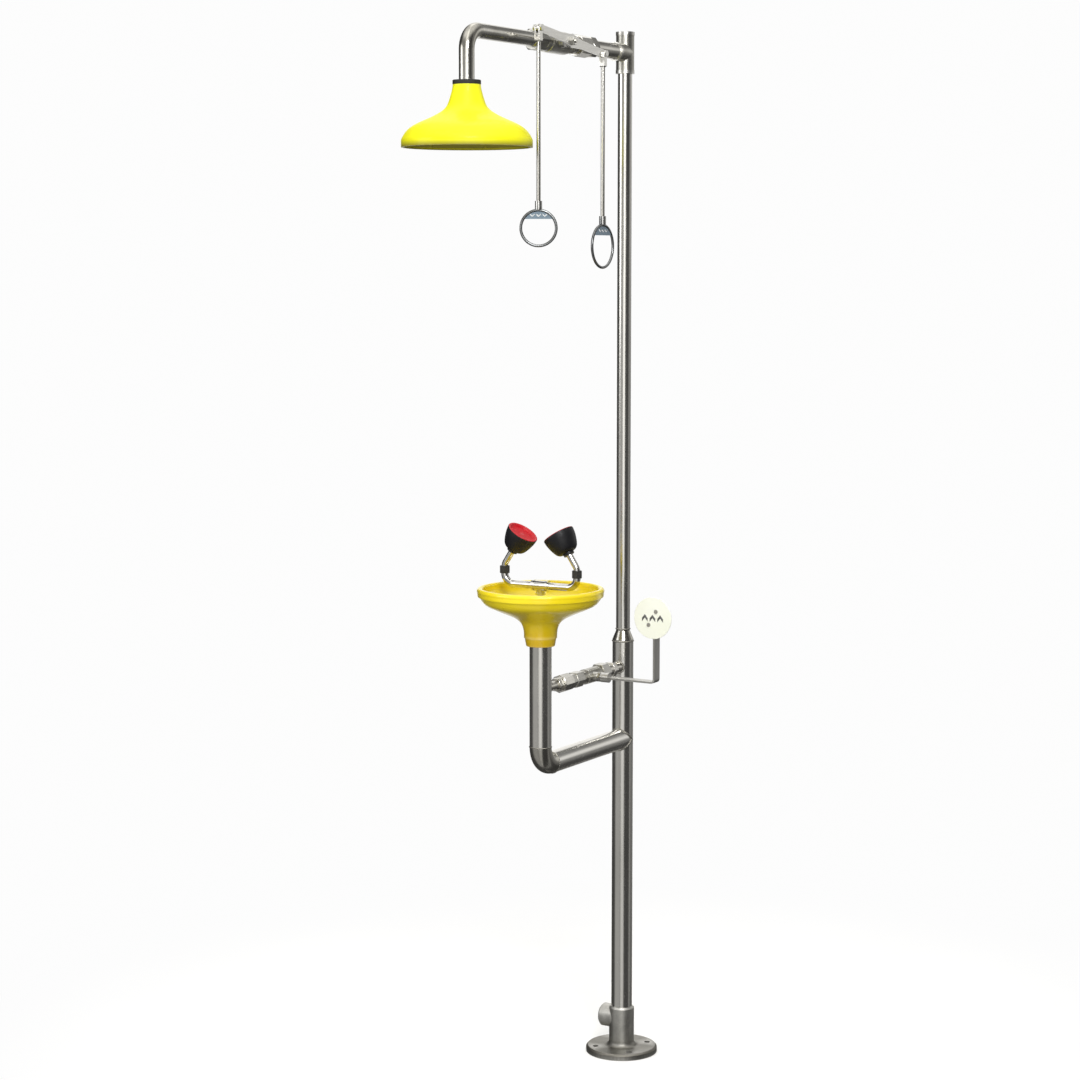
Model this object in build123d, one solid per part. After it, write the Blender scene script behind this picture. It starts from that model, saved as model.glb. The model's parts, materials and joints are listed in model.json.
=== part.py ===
"""Floor-mounted combination drench shower and eyewash station.

Millimetres, +Z up. The origin is the centre of the floor flange's underside. Both arms point along -Y,
towards the person using the station, and valve stems point along +X. The waste outlet on the hub
points along -X.
"""
from build123d import *
from math import cos, pi, radians, sin
import os

os.makedirs("parts", exist_ok=True)

# --- driving dimensions -------------------------------------------------------------------------------
COLUMN_R = 24.15            # outer radius of the waste-size pipes (48.3 mm pipe)
COLUMN_WALL = 2.5
SUPPLY_R = 16.0             # outer radius of the supply-size pipes
SUPPLY_WALL = 2.0
FIT = 0.05                  # radial gap of a pipe in its socket
SWIVEL_GAP = 0.1            # radial gap of a turning shaft in its bearing
CLEAR = 0.3                 # gap between faces that pass each other

TOTAL_HEIGHT = 2338.0
SHOWER_Z = 2292.0           # axis of the shower arm
BRANCH_Z = 907.0            # axis of the eyewash supply branch
DRAIN_Z = 739.0             # axis of the waste arm
OUTLET_Z = 79.0             # axis of the waste outlet on the hub
HEAD_S = 659.0              # shower head centre, measured out from the column axis
BOWL_S = 369.0              # bowl and riser centre, measured out from the column axis
SHOWER_VALVE_S = 321.0
EYEWASH_VALVE_S = 160.0

# pedestal and column
FLANGE_R = 82.5
FLANGE_T = 14.0
BOLT_CIRCLE_R = 62.5
BOLT_HOLE_R = 7.0
BOLT_COUNT = 4
OUTLET_BORE_R = 17.0
HUB_R = 29.0
HUB_TOP = 107.0
PIPE_SEAT_Z = 30.0
OUTLET_R = 26.5
OUTLET_CHAMFER = 3.5
OUTLET_THREAD_R = 20.5
OUTLET_THREAD_LENGTH = 25.0
OUTLET_LENGTH = 50.0        # from the column axis to the outlet's open end
BLANKING_Z = 800.0          # disc that parts the waste from the supply inside the column
BLANKING_T = 4.0
BRANCH_HOLE_R = 7.5
REDUCER_Z = (966.0, 970.0, 990.0, 994.0)
TEE_R = 20.3
TEE_BAND_R = 21.0
TEE_BAND = 8.0
TEE_BOTTOM = 2246.0
TEE_SOCKET = 16.0
TEE_BRANCH_END_S = 50.0
INLET_R = 15.8
INLET_LENGTH = 20.0
WATERWAY_R = 13.0

# shower union, all measured out from the column axis
UNION_HEX_S = 153.0         # start of the body's hexagon
UNION_NECK_S = 178.0        # end of the body's hexagon
UNION_FACE_S = 197.0        # end of the body, against the seal
UNION_SEAL_T = 2.0
UNION_BODY_R = 18.0
UNION_TAIL_R = 15.5
UNION_NUT_S = (179.0, 224.0)

# eyewash union, all measured out from the column axis
BRANCH_HEX_S = (50.0, 66.0)
EYEWASH_THREAD_R = 10.5
TAIL_HEX_S = (232.0, 250.0)
TAIL_FACE_S = 272.0         # end of the tail, against the seal
TAIL_R = 14.4
SUPPLY_END_R = 12.0
SUPPLY_HEX_S = (291.0, 306.0)
EYEWASH_NUT_S = (252.0, 290.0)
INNER_SUPPLY_S = 336.0      # where the inner supply tube starts

# rocker lever, rods and rings
LEVER_X = 45.0              # inner face of the lever
LEVER_T = 5.0
LEVER_REACH = 137.0         # pivot to each rod's hole
LEVER_TILT = 7.0            # degrees, outer end up
PIN_R = 4.0
ROD_R = 4.5
ROD_X = LEVER_X + LEVER_T / 2
RING_WIRE_R = 3.0
OUTER_RING = {"radius": 37.0, "z": 1898.0, "turn": 30.0, "label": "outer"}
INNER_RING = {"radius": 46.0, "z": 1862.0, "turn": 90.0, "label": "inner"}

# pipes with bends
SHOWER_BEND_R = 40.0
DRAIN_BEND_R = 42.0
DROP_END_Z = 2166.0
RISER_TOP_Z = 1031.0

# shower head
HEAD_TOP_Z = 2182.0
HEAD_RIM_R = 133.0
HEAD_BOTTOM_Z = 2057.0
HEAD_NECK_R = 28.3
SPRAY_TOP_Z = 2065.0
SPRAY_T = 4.0
SPRAY_R = 127.7
SPRAY_POST_AT = 72.0        # screw posts, measured from the head's axis
SPRAY_POSTS = 3

# bowl and nozzles
BOWL_BOTTOM_Z = 1021.0
BOWL_NECK_R = 33.0
YOKE_Z = 1134.0
YOKE_TUBE_R = 8.0
YOKE_BORE_R = 6.0
YOKE_ARM_X = 90.5
YOKE_BEND_R = 22.0
YOKE_FITTING_H = 16.0
NOZZLE_TILT = 33.0          # degrees, each nozzle leans towards the middle
NOZZLE_RIM_X = 44.5
NOZZLE_DEPTH = 44.0
NOZZLE_BEND_R = 14.0
CUP_R = 35.0
CAP_R = 32.2
DISC_R = 30.2
DISC_TOP = 7.0              # depth of the ledge under the dust cap

# push handle
HANDLE_X = 172.0            # centre of the upright bar and of the plate
HANDLE_BAR_W = 25.0
HANDLE_BAR_T = 4.0
PLATE_Z = 1052.0
PLATE_R = 46.0
PLATE_T = 3.0

ARM = Vector(0, -1, 0)      # the direction in which both arms leave the column


# --- helpers ------------------------------------------------------------------------------------------
def turned(*outline):
    """Solid of revolution about Z from a closed outline of (radius, height) points."""
    return revolve(Plane.XZ * make_face(Polyline(*outline, close=True)), Axis.Z)


def turned_edges(*edges):
    """Solid of revolution about Z from edges that close a (radius, height) outline."""
    return revolve(Plane.XZ * make_face(edges), Axis.Z)


def rod(radius, start, end):
    """Solid cylinder along Z."""
    return Pos(0, 0, start) * Cylinder(radius, end - start, align=(Align.CENTER, Align.CENTER, Align.MIN))


def tube(outer, inner, start, end):
    """Hollow cylinder along Z."""
    return rod(outer, start, end) - rod(inner, start - 1, end + 1)


def stepped(bands):
    """Solid made of (radius, start, end) cylinders stacked along Z."""
    solid = rod(*bands[0])
    for band in bands[1:]:
        solid += rod(*band)
    return solid


def flats(across, start, end, sides=6, chamfer=1.5):
    """Hexagon or octagon along Z, with its corners turned off at both ends."""
    apothem = across / 2
    prism = extrude(RegularPolygon(apothem, sides, major_radius=False), end - start)
    corner = apothem / cos(pi / sides)
    slope = (corner - apothem + chamfer) * 0.5
    cone = turned((0, start), (apothem - 0.2, start), (corner, start + slope), (corner, end - slope),
                  (apothem - 0.2, end), (0, end))
    return Pos(0, 0, start) * prism & cone


def along_arm(solid, height):
    """Put a solid made along Z onto an arm: its z becomes the distance out from the column axis."""
    return Plane(origin=(0, 0, height), x_dir=(1, 0, 0), z_dir=tuple(ARM)) * solid


def along_stem(solid, distance, height):
    """Put a solid made along Z onto a valve stem: its z becomes X."""
    return Plane(origin=(0, -distance, height), x_dir=(0, 1, 0), z_dir=(1, 0, 0)) * solid


def along_outlet(solid):
    """Put a solid made along Z onto the waste outlet: its z becomes the distance along -X."""
    return Plane(origin=(0, 0, OUTLET_Z), x_dir=(0, 1, 0), z_dir=(-1, 0, 0)) * solid


def upright(solid, distance):
    """Move a solid made about Z to a vertical axis at a distance out from the column."""
    return Pos(0, -distance, 0) * solid


def swept_tube(path, outer, inner):
    """Bent tube along a path of lines and arcs."""
    start = Plane(origin=path @ 0, z_dir=path % 0)
    bent = sweep(start * Circle(outer), path=path)
    return bent - sweep(start * Circle(inner), path=path)


def write(name, solid):
    """Write one node's STEP file."""
    solid.label = name
    export_step(solid, f"parts/{name}.step")


# --- pedestal and column ------------------------------------------------------------------------------
def base_flange():
    outline = Polyline((0, 0), (FLANGE_R, 0), (FLANGE_R, 10), (FLANGE_R - 4, FLANGE_T), (HUB_R, FLANGE_T),
                       (HUB_R, HUB_TOP - 4), (HUB_R - 3, HUB_TOP), (COLUMN_R + FIT, HUB_TOP),
                       (COLUMN_R + FIT, PIPE_SEAT_Z), (20, PIPE_SEAT_Z), (20, 22), (0, 22), close=True)
    face = make_face(outline)
    hub_foot = face.vertices().sort_by_distance((HUB_R, FLANGE_T, 0))[0]
    face = fillet(hub_foot, 11)
    rim = face.vertices().filter_by(lambda v: v.X > FLANGE_R - 5 and v.Y > 1)
    face = fillet(rim, 2.2)
    flange = revolve(Plane.XZ * face, Axis.Z)
    for turn in range(BOLT_COUNT):
        angle = radians(45 + 360 / BOLT_COUNT * turn)
        hole = rod(BOLT_HOLE_R, -1, FLANGE_T + 1)
        flange -= Pos(BOLT_CIRCLE_R * cos(angle), BOLT_CIRCLE_R * sin(angle), 0) * hole
    end = OUTLET_LENGTH
    outlet = turned((0, 5), (OUTLET_R, 5), (OUTLET_R, end - OUTLET_CHAMFER), (OUTLET_R - OUTLET_CHAMFER, end),
                    (0, end))
    flange += along_outlet(outlet) - rod(COLUMN_R + FIT, PIPE_SEAT_Z, HUB_TOP + 20)
    flange -= along_outlet(rod(OUTLET_BORE_R, 0, end))
    return flange - along_outlet(rod(OUTLET_THREAD_R, end - OUTLET_THREAD_LENGTH, end + 1))


def lower_column_pipe():
    pipe = tube(COLUMN_R, COLUMN_R - COLUMN_WALL, PIPE_SEAT_Z, REDUCER_Z[0])
    for radius, height in ((COLUMN_R - COLUMN_WALL - 2.5, DRAIN_Z), (BRANCH_HOLE_R, BRANCH_Z)):
        pipe -= along_arm(rod(radius, 0, COLUMN_R + 5), height)
    return pipe - along_outlet(rod(OUTLET_BORE_R - 1, 0, COLUMN_R + 5))


def column_reducer():
    low, low_neck, high_neck, high = REDUCER_Z
    return turned((COLUMN_R, low), (COLUMN_R, low_neck), (SUPPLY_R, high_neck), (SUPPLY_R, high),
                  (SUPPLY_R - SUPPLY_WALL, high), (SUPPLY_R - SUPPLY_WALL, high_neck + 1),
                  (COLUMN_R - COLUMN_WALL, low_neck + 1), (COLUMN_R - COLUMN_WALL, low))


def top_tee():
    branch_end = TEE_BRANCH_END_S
    run = stepped([(TEE_R, TEE_BOTTOM, TOTAL_HEIGHT), (TEE_BAND_R, TEE_BOTTOM, TEE_BOTTOM + TEE_BAND),
                   (TEE_BAND_R, TOTAL_HEIGHT - TEE_BAND, TOTAL_HEIGHT)])
    branch = stepped([(TEE_R, 0, branch_end), (TEE_BAND_R, branch_end - TEE_BAND, branch_end)])
    tee = run + along_arm(branch, SHOWER_Z)
    tee -= rod(SUPPLY_R + FIT, TEE_BOTTOM - 1, TEE_BOTTOM + TEE_SOCKET)
    tee -= rod(WATERWAY_R, TEE_BOTTOM, TOTAL_HEIGHT)
    tee -= rod(INLET_R, TOTAL_HEIGHT - INLET_LENGTH, TOTAL_HEIGHT + 1)
    tee -= along_arm(rod(WATERWAY_R, 0, branch_end), SHOWER_Z)
    tee -= along_arm(rod(SUPPLY_R + FIT, branch_end - TEE_SOCKET, branch_end + 1), SHOWER_Z)
    return tee


def blanking_disc():
    return rod(COLUMN_R - COLUMN_WALL - FIT, BLANKING_Z, BLANKING_Z + BLANKING_T)


def make_pedestal():
    write("base_flange", base_flange())
    write("lower_column_pipe", lower_column_pipe())
    write("column_blanking_disc", blanking_disc())
    write("column_reducer", column_reducer())
    upper = tube(SUPPLY_R, SUPPLY_R - SUPPLY_WALL, REDUCER_Z[3], TEE_BOTTOM + TEE_SOCKET)
    write("upper_column_pipe", upper)
    write("top_tee", top_tee())


# --- ball valves --------------------------------------------------------------------------------------
SHOWER_VALVE = {
    "name": "shower", "s": SHOWER_VALVE_S, "z": SHOWER_Z, "ball_r": 18.5, "bore_r": 12.5, "cavity_r": 21.0,
    "body_r": 24.0, "start_s": 252.0, "hex_end_s": 276.0, "split_s": 350.0, "cap_hex_s": 367.0,
    "end_s": 402.0, "hex_in": 41.0, "hex_out": 43.0, "thread_r": SUPPLY_R, "thread": 16.0,
    "stem_r": 6.0, "boss_r": 13.0, "boss_x": 33.0, "gland": 24.0, "gland_x": 40.0,
    "drive_x": LEVER_X, "drive_end_x": LEVER_X + LEVER_T, "stem_end_x": 61.0,
    "drive_turn": -LEVER_TILT, "rest_turn": -52.0,
}
EYEWASH_VALVE = {
    "name": "eyewash", "s": EYEWASH_VALVE_S, "z": BRANCH_Z, "ball_r": 11.5, "bore_r": 7.5, "cavity_r": 13.5,
    "body_r": 17.0, "start_s": 87.0, "hex_end_s": 118.0, "split_s": 180.0, "cap_hex_s": 200.0,
    "end_s": 232.0, "hex_in": 38.0, "hex_out": 32.0, "thread_r": 10.5, "thread": 12.0,
    "stem_r": 4.5, "boss_r": 10.5, "boss_x": 27.0, "gland": 19.0, "gland_x": 33.0,
    "drive_x": 35.0, "drive_end_x": 50.0, "stem_end_x": 51.0, "drive_turn": 0.0, "rest_turn": 90.0,
}


def valve_body(v):
    """Body with a hexagon at the supply end, a round middle and a boss for the stem."""
    cavity_start = v["s"] - v["ball_r"] - 2
    body = flats(v["hex_in"], v["start_s"], v["hex_end_s"])
    body += rod(v["body_r"], v["hex_end_s"] - 2, v["split_s"])
    body -= rod(v["thread_r"] + FIT, v["start_s"] - 1, v["start_s"] + v["thread"])
    body -= rod(v["bore_r"], v["start_s"], v["split_s"])
    body -= rod(v["cavity_r"], cavity_start, v["split_s"] + 1)
    body = along_arm(body, v["z"])
    boss = rod(v["boss_r"], v["cavity_r"] - 3, v["boss_x"])
    body += along_stem(boss, v["s"], v["z"]) - along_arm(rod(v["cavity_r"], cavity_start, v["split_s"]), v["z"])
    body -= along_stem(rod(v["stem_r"] + 2, 0, v["cavity_r"] + 0.5), v["s"], v["z"])
    body -= along_stem(rod(v["stem_r"] + CLEAR, 0, v["boss_x"] + 1), v["s"], v["z"])
    packing_start = v["boss_x"] - 8
    return body - along_stem(rod(v["boss_r"] - 4, packing_start, v["boss_x"] + 1), v["s"], v["z"])


def valve_end_cap(v):
    """Screwed end piece that closes the body and holds the downstream seat."""
    spigot_start = v["s"] + v["ball_r"] + 2
    cap = rod(v["cavity_r"] - FIT, spigot_start, v["split_s"])
    cap += rod(v["body_r"] - 1.5, v["split_s"], v["cap_hex_s"] + 1)
    cap += flats(v["hex_out"], v["cap_hex_s"], v["end_s"])
    cap -= rod(v["bore_r"], spigot_start - 1, v["end_s"])
    cap -= rod(v["thread_r"] + FIT, v["end_s"] - v["thread"], v["end_s"] + 1)
    return along_arm(cap, v["z"])


def valve_seals(v):
    """Two seat rings, one each side of the ball, and the packing round the stem."""
    hollow = Pos(0, 0, v["s"]) * Sphere(v["ball_r"] + CLEAR)
    depth = v["ball_r"] + 2
    rings = []
    for start, end in ((-depth, -v["bore_r"]), (v["bore_r"], depth)):
        ring = tube(v["cavity_r"] - FIT, v["bore_r"], v["s"] + start, v["s"] + end) - hollow
        rings.append(along_arm(ring, v["z"]))
    packing = tube(v["boss_r"] - 4 - FIT, v["stem_r"] + SWIVEL_GAP, v["boss_x"] - 8, v["boss_x"] - 3)
    rings.append(along_stem(packing, v["s"], v["z"]))
    return Compound(rings)


def valve_ball(v):
    """Ball with its port, turned to where it stands when the handle is at rest."""
    ball = Sphere(v["ball_r"])
    ball -= rod(v["bore_r"], -v["ball_r"] - 1, v["ball_r"] + 1)
    ball -= Pos(v["ball_r"], 0, 0) * Box(2 * tongue_depth(v), 5, 2 * v["ball_r"])
    return along_arm(Pos(0, 0, v["s"]) * Rot(v["rest_turn"], 0, 0) * ball, v["z"])


def tongue_depth(v):
    """How far the stem's tongue reaches into the ball's slot."""
    return (v["ball_r"] - v["bore_r"]) * 0.7


def drive_section(v, gap=0.0):
    """Face with two flats, on which the lever or the handle's hub sits."""
    return Circle(v["stem_r"] + gap) & Rectangle(4 * v["stem_r"], 1.5 * v["stem_r"] + 2 * gap)


def valve_stem(v):
    """Stem with a tongue in the ball, a collar in the cavity, flats for the handle and a plain end."""
    tongue_start = v["ball_r"] - tongue_depth(v) + 0.1
    tongue_length = v["ball_r"] + 1 - tongue_start
    stem = rod(v["stem_r"] + 1.5, v["ball_r"] + 0.4, v["cavity_r"] + 0.2)
    stem += rod(v["stem_r"], v["cavity_r"], v["drive_x"])
    tongue = Rot(0, 0, v["rest_turn"]) * Box(2 * v["stem_r"] - 2, 4.8, tongue_length)
    stem += Pos(0, 0, tongue_start + tongue_length / 2) * tongue
    drive = extrude(drive_section(v), v["drive_end_x"] - v["drive_x"])
    stem += Pos(0, 0, v["drive_x"]) * Rot(0, 0, v["drive_turn"]) * drive
    stem += rod(v["stem_r"] - 1.5, v["drive_end_x"], v["stem_end_x"])
    return along_stem(stem, v["s"], v["z"])


def valve_gland_nut(v):
    nut = flats(v["gland"], v["boss_x"], v["gland_x"], chamfer=1)
    nut += rod(v["boss_r"] - 4 - FIT, v["boss_x"] - 3, v["boss_x"])
    nut -= rod(v["stem_r"] + CLEAR, v["boss_x"] - 5, v["gland_x"] + 1)
    return along_stem(nut, v["s"], v["z"])


def make_valve(v):
    name = v["name"]
    write(f"{name}_valve_body", valve_body(v))
    write(f"{name}_valve_end_cap", valve_end_cap(v))
    write(f"{name}_valve_seals", valve_seals(v))
    write(f"{name}_valve_ball", valve_ball(v))
    write(f"{name}_valve_stem", valve_stem(v))


# --- shower branch ------------------------------------------------------------------------------------
def make_shower_union():
    """Nipple out of the tee, then a union whose tail screws into the shower valve."""
    valve_start = SHOWER_VALVE["start_s"]
    socket_end = UNION_HEX_S + SHOWER_VALVE["thread"] - 1
    nipple = stepped([(SUPPLY_R, TEE_BRANCH_END_S - TEE_SOCKET, socket_end),
                      (UNION_BODY_R, TEE_BRANCH_END_S, UNION_HEX_S)])
    nipple -= rod(WATERWAY_R, 0, UNION_FACE_S)
    write("arm_nipple", along_arm(nipple, SHOWER_Z))
    body = flats(42, UNION_HEX_S, UNION_NECK_S) + rod(UNION_BODY_R, UNION_NECK_S - 1, UNION_FACE_S)
    body -= rod(SUPPLY_R + FIT, 0, socket_end)
    body -= rod(WATERWAY_R, 0, UNION_FACE_S + 1)
    write("shower_union_body", along_arm(body, SHOWER_Z))
    tail_start = UNION_FACE_S + UNION_SEAL_T
    shoulder_end = tail_start + 5
    tail = stepped([(UNION_BODY_R - 0.1, tail_start, shoulder_end), (UNION_TAIL_R, tail_start, valve_start - 14),
                    (19, valve_start - 20, valve_start), (SUPPLY_R, valve_start, valve_start + 14)])
    tail -= rod(WATERWAY_R - 1, 0, valve_start + 20)
    write("shower_union_tail", along_arm(tail, SHOWER_Z))
    nut = flats(44, *UNION_NUT_S, sides=8)
    nut -= rod(UNION_BODY_R + FIT, 0, shoulder_end)
    nut -= rod(UNION_TAIL_R + FIT, 0, UNION_NUT_S[1] + 1)
    write("shower_union_nut", along_arm(nut, SHOWER_Z))


def rocker_lever():
    """Flat bar across the valve stem, with an eye for each rod's clevis bolt."""
    end_half, hub_half = 8.0, 15.0
    bar = Circle(hub_half)
    for side in (-1, 1):
        outline = Polyline((0, hub_half - 1), (side * 40, end_half + 1), (side * LEVER_REACH, end_half),
                           (side * LEVER_REACH, -end_half), (side * 40, -end_half - 1), (0, -hub_half + 1),
                           close=True)
        bar += make_face(outline)
        bar += Pos(side * LEVER_REACH, 0) * Circle(end_half)
        bar -= Pos(side * LEVER_REACH, 0) * Circle(PIN_R + SWIVEL_GAP)
    bar -= drive_section(SHOWER_VALVE, FIT)
    lever = Rot(0, 0, -LEVER_TILT) * extrude(bar, LEVER_T)
    return along_stem(Pos(0, 0, LEVER_X) * lever, SHOWER_VALVE_S, SHOWER_Z)


def rocker_nut():
    """Nut on the stem's end that holds the lever."""
    nut = flats(17, LEVER_X + LEVER_T, LEVER_X + LEVER_T + 8, chamfer=0.8)
    nut -= rod(SHOWER_VALVE["stem_r"] - 1.5 + FIT, LEVER_X, LEVER_X + 20)
    return along_stem(nut, SHOWER_VALVE_S, SHOWER_Z)


def rod_pin_place(side):
    """Centre of a rod's bolt: side is 1 for the rod nearer the shower head and -1 for the inner rod."""
    reach = SHOWER_VALVE_S + side * LEVER_REACH * cos(radians(LEVER_TILT))
    return Vector(ROD_X, -reach, SHOWER_Z + side * LEVER_REACH * sin(radians(LEVER_TILT)))


def hanger_clevis():
    """Fork over the lever's end, made about its bolt's centre."""
    ear_half, slot_half, crown, foot = 6.0, LEVER_T / 2 + CLEAR, -19.0, -29.0
    fork = Pos(0, 0, foot / 2) * Box(12.6, 2 * ear_half, -foot)
    fork += Rot(0, 90, 0) * Cylinder(ear_half, 12.6)
    fork = chamfer(fork.edges().group_by(Axis.Z)[0], 2.5)
    fork -= Pos(0, 0, crown + 20) * Box(2 * slot_half, 20, 40)
    fork -= Rot(0, 90, 0) * Cylinder(PIN_R + FIT, 20)
    return fork - rod(ROD_R + FIT, foot - 1, foot + 8)


def hanger_bolt():
    """Bolt with a hexagon head on the outside and a nut inside, made about its centre along X."""
    bolt = rod(PIN_R, -11, 6.3) + flats(13, 6.3, 10.3, chamfer=0.6)
    nut = flats(13, -10.8, -6.3, chamfer=0.6) - rod(PIN_R + FIT, -12, 0)
    place = Plane(origin=(0, 0, 0), x_dir=(0, 1, 0), z_dir=(1, 0, 0))
    return Compound([place * bolt, place * nut])


def make_pull_rod(side, ring):
    """Clevis, bolt and rod of one side, then the ring that turns on the rod's lower end."""
    label = ring["label"]
    pin = rod_pin_place(side)
    at_pin = Pos(*pin)
    write(f"{label}_hanger_clevis", at_pin * hanger_clevis())
    write(f"{label}_hanger_bolt", at_pin * hanger_bolt())
    sleeve_start = ring["z"] + ring["radius"] + 1
    sleeve_end = sleeve_start + 18
    neck_r, head_r = 3.2, 5.0
    shaft = stepped([(ROD_R, sleeve_end + CLEAR, pin.Z - 21), (neck_r, sleeve_start + 8, sleeve_end + 1),
                     (head_r, sleeve_start + 6, sleeve_start + 11)])
    at_rod = Pos(pin.X, pin.Y, 0)
    write(f"{label}_pull_rod", at_rod * shaft)
    wire = Pos(0, 0, ring["z"]) * Rot(90, 0, 0) * Torus(ring["radius"], RING_WIRE_R)
    sleeve = rod(7.5, sleeve_start, sleeve_end)
    sleeve -= rod(head_r + CLEAR, sleeve_start + 5.5, sleeve_start + 11.3)
    sleeve -= rod(neck_r + SWIVEL_GAP, sleeve_start + 10, sleeve_end + 1)
    inside = ring["radius"] - RING_WIRE_R - FIT
    segment = Circle(inside) & Pos(0, inside) * Rectangle(2 * inside, 2 * (inside - 0.55 * inside))
    plate = Pos(0, 1.5, ring["z"]) * Rot(90, 0, 0) * extrude(segment, 3)
    turn = Rot(0, 0, ring["turn"])
    write(f"{label}_pull_ring", at_rod * turn * (wire + sleeve))
    write(f"{label}_ring_plate", at_rod * turn * plate)


def make_shower_pipe():
    """One bent tube from the valve out to the elbow and down into the shower head."""
    bend_start = HEAD_S - SHOWER_BEND_R
    pipe_start = SHOWER_VALVE["end_s"] - SHOWER_VALVE["thread"]
    run = Line((0, -pipe_start, SHOWER_Z), (0, -bend_start, SHOWER_Z))
    bend = arm_bend(bend_start, HEAD_S, SHOWER_Z, -SHOWER_BEND_R)
    drop = Line((0, -HEAD_S, SHOWER_Z - SHOWER_BEND_R), (0, -HEAD_S, DROP_END_Z))
    write("shower_arm_pipe", swept_tube(Wire([run, bend, drop]), SUPPLY_R, SUPPLY_R - SUPPLY_WALL))


def arm_bend(start_s, end_s, height, rise):
    """Quarter circle in the Y-Z plane from an arm's level run to a vertical pipe, up or down."""
    radius = abs(rise)
    middle = radius * (1 - cos(pi / 4))
    mid_s = start_s + radius * sin(pi / 4)
    mid_z = height + middle * (1 if rise > 0 else -1)
    return ThreePointArc((0, -start_s, height), (0, -mid_s, mid_z), (0, -end_s, height + rise))


def shower_head_shell():
    """Bell with a long neck; three posts inside take the spray plate's screws."""
    neck, rim, bottom, roof, inner_rim = HEAD_NECK_R, HEAD_RIM_R, HEAD_BOTTOM_Z, 2140, 124.5
    outer = Spline((neck + 0.5, 2177), (34.5, 2155), (41.5, 2138), (57, 2125), (79, 2114), (107, 2101),
                   (124, 2087), (132.3, 2073), (rim, 2067), tangents=((0.15, -1), (0, -1)))
    bell = turned_edges(Line((0, HEAD_TOP_Z), (neck, HEAD_TOP_Z)), Line((neck, HEAD_TOP_Z), (neck + 0.5, 2177)),
                        outer, Line((rim, 2067), (rim, bottom)), Line((rim, bottom), (0, bottom)),
                        Line((0, bottom), (0, HEAD_TOP_Z)))
    hollow = Spline((13, roof), (37, 2133.5), (55, 2121.5), (77, 2110.4), (105, 2097.5), (119, 2084.5),
                    (inner_rim, 2071), tangents=((1, -0.05), (0, -1)))
    inside = turned_edges(Line((0, roof), (13, roof)), hollow, Line((inner_rim, 2071), (inner_rim, SPRAY_TOP_Z)),
                          Line((inner_rim, SPRAY_TOP_Z), (0, SPRAY_TOP_Z)), Line((0, SPRAY_TOP_Z), (0, roof)))
    shell = bell - inside - rod(SPRAY_R + 0.2, bottom - 1, SPRAY_TOP_Z)
    shell -= rod(WATERWAY_R, roof - 5, DROP_END_Z + 1)
    shell -= rod(SUPPLY_R + FIT, DROP_END_Z, HEAD_TOP_Z + 1)
    for place in spray_screw_places():
        shell += place * rod(5.5, SPRAY_TOP_Z, roof) & bell
        shell -= place * rod(2.05, SPRAY_TOP_Z - 5, SPRAY_TOP_Z + 15)
    return shell


def spray_screw_places():
    """The screw posts' places round the head's own axis."""
    return [Rot(0, 0, 90 + 360 / SPRAY_POSTS * turn) * Pos(SPRAY_POST_AT, 0, 0) for turn in range(SPRAY_POSTS)]


def spray_plate():
    """Perforated plate that closes the bell, with rings of holes and three screw holes."""
    bottom = SPRAY_TOP_Z - SPRAY_T
    plate = rod(SPRAY_R, bottom, SPRAY_TOP_Z)
    holes = [Location((0, 0))]
    for ring, radius in enumerate((20, 40, 57, 86, 101, 116), start=1):
        count = 6 * ring
        for step in range(count):
            angle = 2 * pi * (step + 0.5 * (ring % 2)) / count
            holes.append(Location((radius * cos(angle), radius * sin(angle))))
    drills = Sketch() + [place * Circle(1.8) for place in holes]
    plate -= Pos(0, 0, bottom - 1) * extrude(drills, SPRAY_T + 2)
    for place in spray_screw_places():
        plate -= place * rod(2.2, bottom - 1, SPRAY_TOP_Z + 1)
    return plate


def spray_plate_screws():
    bottom = SPRAY_TOP_Z - SPRAY_T
    screw = rod(2.0, bottom - 1, SPRAY_TOP_Z + 13) + rod(4.2, bottom - 2.4, bottom)
    screw -= Pos(0, 0, bottom - 2) * Box(8, 1, 1)
    return Compound([upright(place * screw, HEAD_S) for place in spray_screw_places()])


def make_shower_head():
    top = HEAD_TOP_Z + 9
    collar = turned((SUPPLY_R + FIT, HEAD_TOP_Z), (HEAD_NECK_R, HEAD_TOP_Z), (HEAD_NECK_R + 0.5, HEAD_TOP_Z + 1),
                    (HEAD_NECK_R + 0.5, top - 1), (HEAD_NECK_R - 0.5, top), (SUPPLY_R + FIT, top))
    write("shower_head_collar", upright(collar, HEAD_S))
    write("shower_head_shell", upright(shower_head_shell(), HEAD_S))
    write("shower_spray_plate", upright(spray_plate(), HEAD_S))
    write("spray_plate_screws", spray_plate_screws())


# --- eyewash branch -----------------------------------------------------------------------------------
def branch_nipple():
    """Welded boss on the column with a hexagon and the male end that carries the valve."""
    hex_start, hex_end = BRANCH_HEX_S
    valve_start = EYEWASH_VALVE["start_s"]
    nipple = rod(13.5, 15, hex_start + 1) + flats(32, hex_start, hex_end) + rod(15.5, hex_end - 1, valve_start)
    nipple += rod(EYEWASH_THREAD_R, valve_start - 1, valve_start + 11)
    nipple = along_arm(nipple - rod(BRANCH_HOLE_R, 10, valve_start + 12), BRANCH_Z)
    return nipple - rod(COLUMN_R + FIT, BRANCH_Z - 40, BRANCH_Z + 40)


def union_tail():
    """Male end out of the valve, a hexagon and the round end against the seal."""
    hex_start, hex_end = TAIL_HEX_S
    tail = flats(30, hex_start, hex_end) + rod(TAIL_R, hex_end - 1, TAIL_FACE_S)
    tail += rod(EYEWASH_THREAD_R, hex_start - 11, hex_start + 1)
    return along_arm(tail - rod(BRANCH_HOLE_R, hex_start - 12, TAIL_FACE_S + 1), BRANCH_Z)


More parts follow.
